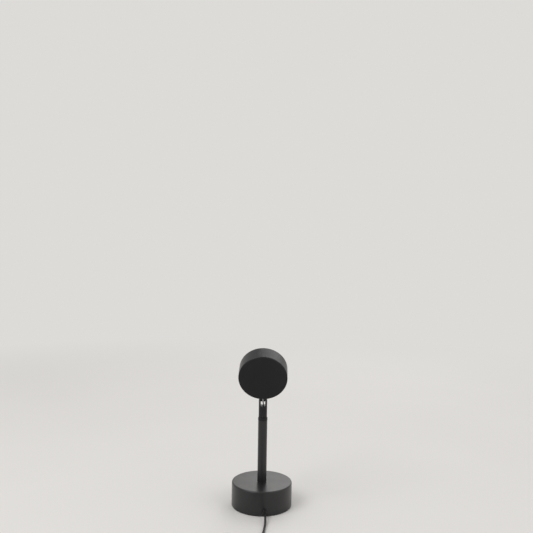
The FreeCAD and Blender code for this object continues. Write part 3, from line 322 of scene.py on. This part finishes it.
# ---- Finishes of plastic, rubber and boards ----------------------------------------------
def moulded(name, dark, light, grit, depth, rough, **constants):
    """Moulded surface: the tool's grit as a low relief that speckles it.

    The grit's width and its depth are in millimetres. The flow of the melt leaves clouds of
    a slightly different sheen, 25 times as wide.
    """
    finish, tree, shader, place = begin(name, **constants)
    pits = {"Vector": place, "Scale": per_metre(grit), "Detail": 2.0, "Roughness": 0.65}
    grains = add(tree, "TexNoise", pits)
    flow = add(tree, "TexNoise", {"Vector": place, "Scale": per_metre(grit * 25), "Detail": 3.0})
    speckle = add(tree, "MapRange", {"Value": grains.outputs[0], "From Min": 0.3, "From Max": 0.7})
    colours = {"Factor": speckle.outputs[0], "A": linear(dark), "B": linear(light)}
    tint = add(tree, "Mix", colours, data_type="RGBA").outputs["Result"]
    sheen = {"Value": flow.outputs[0], "To Min": rough - 0.05, "To Max": rough + 0.05}
    dull = add(tree, "MapRange", sheen).outputs[0]
    dents = {"Height": grains.outputs[0], "Strength": 0.6, "Distance": depth * MM}
    relief = add(tree, "Bump", dents).outputs[0]
    feed(tree, shader, Base_Color=tint, Roughness=dull, Normal=relief)
    return finish


def spark_eroded_abs():
    """ABS from a spark eroded tool: matt black, its grit drawn 0.6 mm wide so that it shows."""
    return moulded("matt_black_abs", "121212", "242425", 0.6, 0.08, 0.55, IOR=1.54)


def polished_abs():
    """ABS button from a polished tool: glossy black, with hardly any grain."""
    return moulded("gloss_black_abs", "121212", "161617", 0.6, 0.003, 0.16, IOR=1.54)


def flexible_pvc():
    """Extruded PVC jacket: satin black, slightly waxy, with a skin of 0.8 mm ripples."""
    return moulded("flexible_pvc_jacket", "131313", "1E1E1E", 0.8, 0.05, 0.42, IOR=1.53)


def natural_nylon():
    """Moulded black nylon washers and spacer: dark, a little translucent, low sheen."""
    return moulded("moulded_nylon", "202021", "29292A", 0.4, 0.01, 0.4, IOR=1.53)


def silicone_rubber():
    """Silicone gasket: soft dull black with a powdery skin."""
    return moulded("silicone_rubber", "1B1B1C", "222223", 0.25, 0.01, 0.6, IOR=1.43)


def epoxy_parts():
    """Moulded epoxy and phenolic of the terminals and electronic parts: dull charcoal."""
    return moulded("moulded_epoxy", "1A1A1C", "252528", 0.3, 0.01, 0.5, IOR=1.55)


def eva_foam():
    """Closed cell EVA foam pad, skived: dull black, pricked with cells about 0.5 mm wide."""
    finish, tree, shader, place = begin("eva_foam", Roughness=0.85, IOR=1.49)
    cells = add(tree, "TexVoronoi", {"Vector": place, "Scale": per_metre(0.5)})
    colours = {"Factor": cells.outputs["Distance"], "A": linear("131313"), "B": linear("232323")}
    tint = add(tree, "Mix", colours, data_type="RGBA").outputs["Result"]
    relief = add(tree, "Bump", {"Height": cells.outputs["Distance"], "Distance": 0.1 * MM}).outputs[0]
    feed(tree, shader, Base_Color=tint, Normal=relief)
    return finish


def insulated_cores():
    """PVC insulation of the two LED leads: one red and one black, smooth and glossy."""
    finish, tree, shader, place = begin("pvc_insulation", Roughness=0.3, IOR=1.53)
    across = add(tree, "SeparateXYZ", {"Vector": place})
    side = add(tree, "Math", {0: across.outputs["X"], 1: 0.0}, operation="GREATER_THAN")
    colours = {"Factor": side.outputs[0], "A": linear("18181A"), "B": linear("A3231C")}
    tint = add(tree, "Mix", colours, data_type="RGBA").outputs["Result"]
    feed(tree, shader, Base_Color=tint)
    return finish


def board(name, mask, copper, rough):
    """Glass epoxy board: copper tracks, 1.4 mm wide and 0.2 mm apart, under solder mask."""
    finish, tree, shader, place = begin(name, Roughness=rough, IOR=1.55)
    tracks = add(
        tree,
        "TexBrick",
        {
            "Vector": place,
            "Scale": per_metre(10),
            "Mortar Size": 0.07,
            "Brick Width": 0.5,
            "Row Height": 0.16,
            "Color1": linear(mask),
            "Color2": linear(mask),
            "Mortar": linear(copper),
        },
    )
    relief = add(tree, "Bump", {"Height": tracks.outputs["Fac"], "Distance": 0.03 * MM}).outputs[0]
    feed(tree, shader, Base_Color=tracks.outputs["Color"], Normal=relief)
    return finish


def green_board():
    """Driver and switch boards: green solder mask, half glossy."""
    return board("green_solder_mask", "0F4A2A", "2F7A45", 0.3)


def white_board():
    """Aluminium LED board: white solder mask with faint tracks."""
    return board("white_solder_mask", "E2E2DE", "CFCFC8", 0.35)


# ---- Finishes of the light's own pieces --------------------------------------------------
def phosphor():
    """Yellow phosphor in silicone over the LED dice, lit: a granular warm white."""
    finish, tree, shader, place = begin("lit_phosphor", Roughness=0.5, Emission_Strength=2.5)
    grains = add(tree, "TexVoronoi", {"Vector": place, "Scale": per_metre(0.6)})
    colours = {"Factor": grains.outputs["Distance"], "A": linear("F6E27A"), "B": linear("E9C93F")}
    tint = add(tree, "Mix", colours, data_type="RGBA").outputs["Result"]
    glows = {"Factor": grains.outputs["Distance"], "A": linear("FFF6DC"), "B": linear("FFE9A8")}
    glow = add(tree, "Mix", glows, data_type="RGBA").outputs["Result"]
    feed(tree, shader, Base_Color=tint, Emission_Color=glow)
    return finish


def dichroic_glass():
    """Glass disc with a vacuum deposited interference coating, lit from behind.

    What it lets through turns with the angle of the light, so the disc shows rings that
    run from pale cyan in the middle through blue, violet and rose to an orange edge. Here
    the rings are painted by the radius, both into its colour and into a painted glow that
    stands for the LED's light shining through it.
    """
    # Its emission is a painted glow, standing for the LED's light through the disc.
    finish, tree, shader, place = begin(
        "dichroic_coated_glass", Roughness=0.08, IOR=1.52, Transmission_Weight=0.35, Emission_Strength=0.8
    )
    square_on = {0: drum_place(tree, place), 1: (1.0, 1.0, 0.0)}
    across = add(tree, "VectorMath", square_on, operation="MULTIPLY")
    radius = add(tree, "VectorMath", {0: across.outputs[0]}, operation="LENGTH")
    share = add(tree, "Math", {0: radius.outputs["Value"], 1: filter_radius}, operation="DIVIDE")
    rings = add(tree, "ValToRGB", {"Fac": share.outputs[0]})
    band = rings.color_ramp.elements
    band[0].color, band[1].color = linear("9DF0EE"), linear("FF9A3C")
    between = [(0.28, "35B8DA"), (0.46, "4A6FE0"), (0.6, "8A4BD2"), (0.74, "D044B4"), (0.86, "F0607A")]
    for position, code in between:
        band.new(position).color = linear(code)
    # The painted rings go into the disc's colour and into its painted glow.
    feed(tree, shader, Base_Color=rings.outputs["Color"], Emission_Color=rings.outputs["Color"])
    return finish


def moulded_lens():
    """Pressed borosilicate lens, fire polished: clear, with faint swirls from the pressing."""
    finish, tree, shader, place = begin(
        "borosilicate_lens", Base_Color=linear("FBFDFD"), Roughness=0.01, IOR=1.47, Transmission_Weight=1.0
    )
    swirls = add(tree, "TexNoise", {"Vector": place, "Scale": per_metre(9), "Detail": 1.0})
    waves = {"Height": swirls.outputs[0], "Strength": 0.2, "Distance": 0.02 * MM}
    relief = add(tree, "Bump", waves).outputs[0]
    feed(tree, shader, Normal=relief)
    return finish


finish_of_slot = {
    "black_paint": powder_coat(),
    "black_anodised": anodised_aluminium(),
    "cast_iron": cast_iron(),
    "zinc_steel": zinc_plate(),
    "black_screw": black_oxide(),
    "brass": turned_brass(),
    "bare_aluminium": turned_aluminium(),
    "circuit_board": green_board(),
    "white_board": white_board(),
    "component_plastic": epoxy_parts(),
    "phosphor": phosphor(),
    "black_plastic": spark_eroded_abs(),
    "washer_plastic": natural_nylon(),
    "pad_rubber": eva_foam(),
    "gasket_rubber": silicone_rubber(),
    "lens_glass": moulded_lens(),
    "filter_coating": dichroic_glass(),
    "cord_pvc": flexible_pvc(),
    "core_pvc": insulated_cores(),
    "plug_metal": nickel_plate(),
    "contact_gold": gold_flash(),
    "button_plastic": polished_abs(),
}


def dress_frame():
    """Gives each CAD node the finish of its slot in the record."""
    for part in frame["record"]["subparts"]:
        piece = nodes[part["node"]]
        for place in piece.material_slots:
            place.material = finish_of_slot[part["material_slot"]]


dress_frame()


# ---- Shaping -----------------------------------------------------------------------------
def put_in(piece, slot):
    """Links a new piece and gives it the slot's finish."""
    bpy.context.scene.collection.objects.link(piece)
    piece.data.materials.append(finish_of_slot[slot])
    return piece


def grid_mesh(name, grid, caps=True):
    """Mesh of a grid of points (along, round, 3) that closes round its second index.

    Each cell between two neighbours along and two round becomes a face, and each end is
    closed by one face.
    """
    along, around = grid.shape[:2]
    starts = np.arange(along - 1)[:, None] * around
    first = starts + np.arange(around)
    after = starts + (np.arange(around) + 1) % around
    faces = np.stack([first, after, after + around, first + around], axis=-1).reshape(-1, 4).tolist()
    if caps:
        faces.append(list(range(around))[::-1])
        faces.append(list(range((along - 1) * around, along * around)))
    mesh = bpy.data.meshes.new(name)
    mesh.from_pydata(grid.reshape(-1, 3).tolist(), [], faces)
    mesh.shade_smooth()
    return bpy.data.objects.new(name, mesh)


# ---- Lens and colour filter --------------------------------------------------------------
def flat_ring(inner, outer, place, steps=12):
    """Straight stretch of a profile at one place along the beam, from one radius to another."""
    radius = np.linspace(inner, outer, steps)
    return np.stack([radius, np.full(steps, place)], axis=1)


def rounded(corner, radius, place, start, end, steps=6):
    """Arc of a profile about (radius, place), from one angle to another in degrees.

    Its points are (radius + corner * cos turn, place + corner * sin turn).
    """
    turn = np.radians(np.linspace(start, end, steps))
    return np.stack([radius + corner * np.cos(turn), place + corner * np.sin(turn)], axis=1)


def turned_glass(name, profile, slot, stands_for, sides=128):
    """Piece of glass in the head, its profile of (radius, place) turned round the beam.

    A point is the drum's middle + place * beam + radius * (cos turn * across + sin turn *
    other), where across and other are square to the beam and to each other.
    """
    profile = np.concatenate(profile)
    beam = np.array((0.0, math.cos(head_tilt), math.sin(head_tilt)))
    across = np.array((1.0, 0.0, 0.0))
    other = np.cross(beam, across)
    turn = np.linspace(0, 2 * np.pi, sides, endpoint=False)[:, None]
    spokes = np.cos(turn) * across + np.sin(turn) * other
    radius, place = profile[:, 0, None, None], profile[:, 1, None, None]
    piece = put_in(grid_mesh(name, np.array(drum_middle) + place * beam + radius * spokes), slot)
    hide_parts(stands_for)
    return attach(piece, "head")


def lens_piece(dome_steps=40):
    """Plano-convex lens: out along the flat back, up the edge, in along the land, up the dome.

    The dome is a circle's arc: place = tip - curve + sqrt(curve^2 - radius^2).
    """
    back, land = lens_back + glass_clear, lens_land - glass_clear
    centre = land - math.sqrt(lens_curve**2 - lens_dome_radius**2)
    edge = lens_radius - lens_corner
    dome = np.linspace(lens_dome_radius, hub * lens_radius, dome_steps)
    profile = [
        flat_ring(hub * lens_radius, edge, back),
        rounded(lens_corner, edge, back + lens_corner, -75, 0),
        rounded(lens_corner, edge, land - lens_corner, 0, 90),
        np.stack([dome, centre + np.sqrt(lens_curve**2 - dome**2)], axis=1),
    ]
    return turned_glass("pressed_lens", profile, "lens_glass", "lens")


def filter_piece():
    """Coated disc: out along its back, round its ground edge and in along its front."""
    back, front = filter_back + glass_clear, filter_front - glass_clear
    edge = filter_radius - filter_corner
    profile = [
        flat_ring(hub * filter_radius, edge, back),
        rounded(filter_corner, edge, back + filter_corner, -75, 0),
        rounded(filter_corner, edge, front - filter_corner, 0, 75),
        flat_ring(edge, hub * filter_radius, front),
    ]
    return turned_glass("coated_filter_disc", profile, "filter_coating", "colour_filter")


lens_piece()
filter_piece()


# ---- Lead through the tilt joint ---------------------------------------------------------
def neck_lead_piece(steps=48, sides=20):
    """The thin lead in the fork's window.

    Its axis goes up to the bend, round an arc that turns by the head's tilt, and on along
    the stem. The height s runs along it, from the pivot. Below -bend the axis is (0, 0, s),
    above +bend it is stem * s, and between them a quadratic blend of the two ends and the
    pivot. It sways along X by one cosine wave over the sway's length below its top. A
    circle is carried along it, square to its tangent.
    """
    below = np.linspace(lead_foot - pivot.z, -lead_bend, steps)
    above = np.linspace(-lead_bend, lead_tip, steps)
    s = np.concatenate([below, above[1:]])
    rise = np.array(stem)
    up = np.array((0.0, 0.0, 1.0))
    t = np.clip((s + lead_bend) / (2 * lead_bend), 0, 1)[:, None]
    low, high = np.minimum(s, -lead_bend)[:, None], np.maximum(s, lead_bend)[:, None]
    across = np.array((1.0, 0.0, 0.0))
    wave = np.clip((s - lead_sway_top) / lead_sway_length, -1, 0)[:, None]
    sway = lead_sway * (1 - np.cos(2 * np.pi * wave)) / 2
    axis = np.array(pivot) + (1 - t) ** 2 * low * up + t**2 * high * rise + sway * across
    tangent = np.gradient(axis, axis=0)
    tangent /= np.linalg.norm(tangent, axis=1, keepdims=True)
    other = np.cross(tangent, across)
    turn = np.linspace(0, 2 * np.pi, sides, endpoint=False)
    ring = np.cos(turn)[None, :, None] * across + np.sin(turn)[None, :, None] * other[:, None, :]
    grid = axis[:, None, :] + lead_dia / 2 * ring
    piece = put_in(grid_mesh("neck_lead_flexing", grid), "cord_pvc")
    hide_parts("neck_lead")
    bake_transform(piece)
    return piece


neck_lead_piece()


# ---- Leads on the table ------------------------------------------------------------------
def cord_curve(name, points):
    """Round lead whose axis is one smooth spline with the route's points as its control."""
    curve = bpy.data.curves.new(name, "CURVE")
    curve.dimensions = "3D"
    spline = curve.splines.new("NURBS")
    spline.points.add(len(points) - 1)
    for point, place in zip(spline.points, points):
        point.co = (*place, 1)
    spline.order_u = 3
    spline.use_endpoint_u = True
    spline.resolution_u = 10
    curve.bevel_depth = cord_radius
    curve.bevel_resolution = 6
    curve.use_fill_caps = True
    piece = put_in(bpy.data.objects.new(name, curve), "cord_pvc")
    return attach(piece, "base")


def exit_point(out):
    """Point on the lead's axis, some way out from the base's wall."""
    reach = base_radius + out
    return (reach * math.sin(base_turn), -reach * math.cos(base_turn), exit_height)


def lead_to_switch():
    """Out of the base's wall, down to the table, along it, and up into the switch."""
    points = [
        exit_point(0.0),
        exit_point(0.0115),
        (0.0079, -0.0700, 0.0042),
        (0.0076, -0.0810, table_rise),
        (0.0069, -0.0920, table_rise),
        (0.0061, -0.1025, table_rise),
        (0.0055, -0.1105, 0.0024),
        (switch_x, -0.1190, switch_axis),
        (switch_x, -0.1300, switch_axis),
    ]
    piece = cord_curve("lead_base_to_switch", points)
    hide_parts("cord_lead")


def coil_point(turns):
    """A point of the coil after some turns.

    The radius falls and rises by one step a turn and reverses at each change of layer, and
    the height climbs to the next layer by half a cosine wave, centred on the change.
    """
    leg = coil_turns / coil_layers
    layer = min(int(turns / leg), coil_layers - 1)
    inward = turns - layer * leg
    if layer % 2:
        inward = leg - inward
    radius = coil_outer - coil_turn_step * inward
    height = table_rise
    for change in range(1, coil_layers):
        into = min(max((turns - change * leg) / coil_change + 0.5, 0.0), 1.0)
        height += coil_layer_step * (1 - math.cos(math.pi * into)) / 2
    angle = -2 * math.pi * turns
    return (coil_x + radius * math.cos(angle), coil_y + radius * math.sin(angle), height)


def coiled_lead(points_per_turn=16):
    """From the switch down to the table, round the coil, and off its top to the plug."""
    count = int(round(points_per_turn * coil_turns))
    points = [
        (switch_x, -0.1760, switch_axis),
        (switch_x, -0.1854, switch_axis),
        (switch_x, -0.1944, table_rise),
    ]
    points += [coil_point(coil_turns * k / count) for k in range(count + 1)]
    top = points[-1][2]
    points += [
        (plug_x, coil_y + 0.0150, top),
        (plug_x, coil_y + 0.0300, plug_axis),
        (plug_x, coil_y + 0.0474, plug_axis),
    ]
    piece = cord_curve("lead_coiled", points)
    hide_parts("cord_coil")


lead_to_switch()
coiled_lead()


# ---- Floor, light and background ---------------------------------------------------------
background = "DDDBD8"
floor_rings = [0.02, 0.4, 2.0, 8.0, 30.0]  # radii
floor_clouds = 3.0  # to a metre
fade_start, fade_end = 0.7, 2.2  # of the floor into the background, from the lamp
light_aim = Vector((0, 0, 0.12))  # about the middle of the lamp's height


def seen_directly(tree):
    """1 for rays from the camera and for those that a piece mirrors or lets through."""
    ray = add(tree, "LightPath")
    mirrored = {0: ray.outputs["Is Camera Ray"], 1: ray.outputs["Is Glossy Ray"]}
    seen = add(tree, "Math", mirrored, operation="MAXIMUM")
    passed = {0: seen.outputs[0], 1: ray.outputs["Is Transmission Ray"]}
    return add(tree, "Math", passed, operation="MAXIMUM").outputs[0]


def make_floor():
    """Wide pale disc, drawn as rings of points round the lamp.

    Far from the lamp it fades into the colour of the background, so no horizon shows.
    """
    radius = np.array(floor_rings)[:, None, None]
    turn = np.linspace(0, 2 * np.pi, 96, endpoint=False)[None, :, None]
    grid = np.concatenate([radius * np.cos(turn), -radius * np.sin(turn), 0 * radius * turn], axis=2)
    floor = grid_mesh("floor", grid, caps=False)
    bpy.context.scene.collection.objects.link(floor)
    finish, tree, shader, place = begin("matt_pale_floor", Roughness=0.85)
    cloud = add(tree, "TexNoise", {"Vector": place, "Scale": floor_clouds, "Detail": 2.0})
    colours = {"Factor": cloud.outputs[0], "A": linear("DAD8D5"), "B": linear("DEDCD9")}
    tint = add(tree, "Mix", colours, data_type="RGBA").outputs["Result"]
    feed(tree, shader, Base_Color=tint)
    reach = add(tree, "VectorMath", {0: place}, operation="LENGTH")
    fade = {"Value": reach.outputs["Value"], "From Min": fade_start, "From Max": fade_end}
    far = add(tree, "MapRange", fade, interpolation_type="SMOOTHSTEP")
    share = add(tree, "Math", {0: far.outputs[0], 1: seen_directly(tree)}, operation="MULTIPLY")
    haze = add(tree, "Emission", {"Color": linear(background)})
    surface = add(tree, "MixShader", {0: share.outputs[0], 1: shader.outputs[0], 2: haze.outputs[0]})
    add(tree, "OutputMaterial", {"Surface": surface.outputs[0]}, is_active_output=True)
    floor.data.materials.append(finish)


def area_light(name, place, size, watts):
    """Soft square lamp aimed at the middle of the object."""
    data = bpy.data.lights.new(name, "AREA")
    data.shape = "SQUARE"
    data.size = size
    data.energy = watts
    lamp = bpy.data.objects.new(name, data)
    bpy.context.scene.collection.objects.link(lamp)
    lamp.location = place
    lamp.rotation_euler = (light_aim - Vector(place)).to_track_quat("-Z", "Y").to_euler()


def make_light():
    """A key from the left, a weaker fill from the right, one from beyond, and a pale world."""
    area_light("key", place=(-1.3, -1.2, 1.9), size=1.4, watts=25)
    area_light("fill", place=(1.7, -0.9, 1.2), size=1.6, watts=8.6)
    area_light("beyond", place=(0.5, 1.9, 1.6), size=1.6, watts=13.4)
    world = bpy.data.worlds.new("studio")
    bpy.context.scene.world = world
    world.use_nodes = True
    tree = world.node_tree
    tree.nodes.clear()
    plain = add(tree, "Background", {"Color": linear("C7C6C5")})
    shown = add(tree, "Background", {"Color": linear(background)})
    both = add(tree, "MixShader", {0: seen_directly(tree), 1: plain.outputs[0], 2: shown.outputs[0]})
    add(tree, "OutputWorld", {"Surface": both.outputs[0]})


make_floor()
make_light()
bpy.context.scene.view_settings.view_transform = "Standard"

bpy.context.view_layer.update()
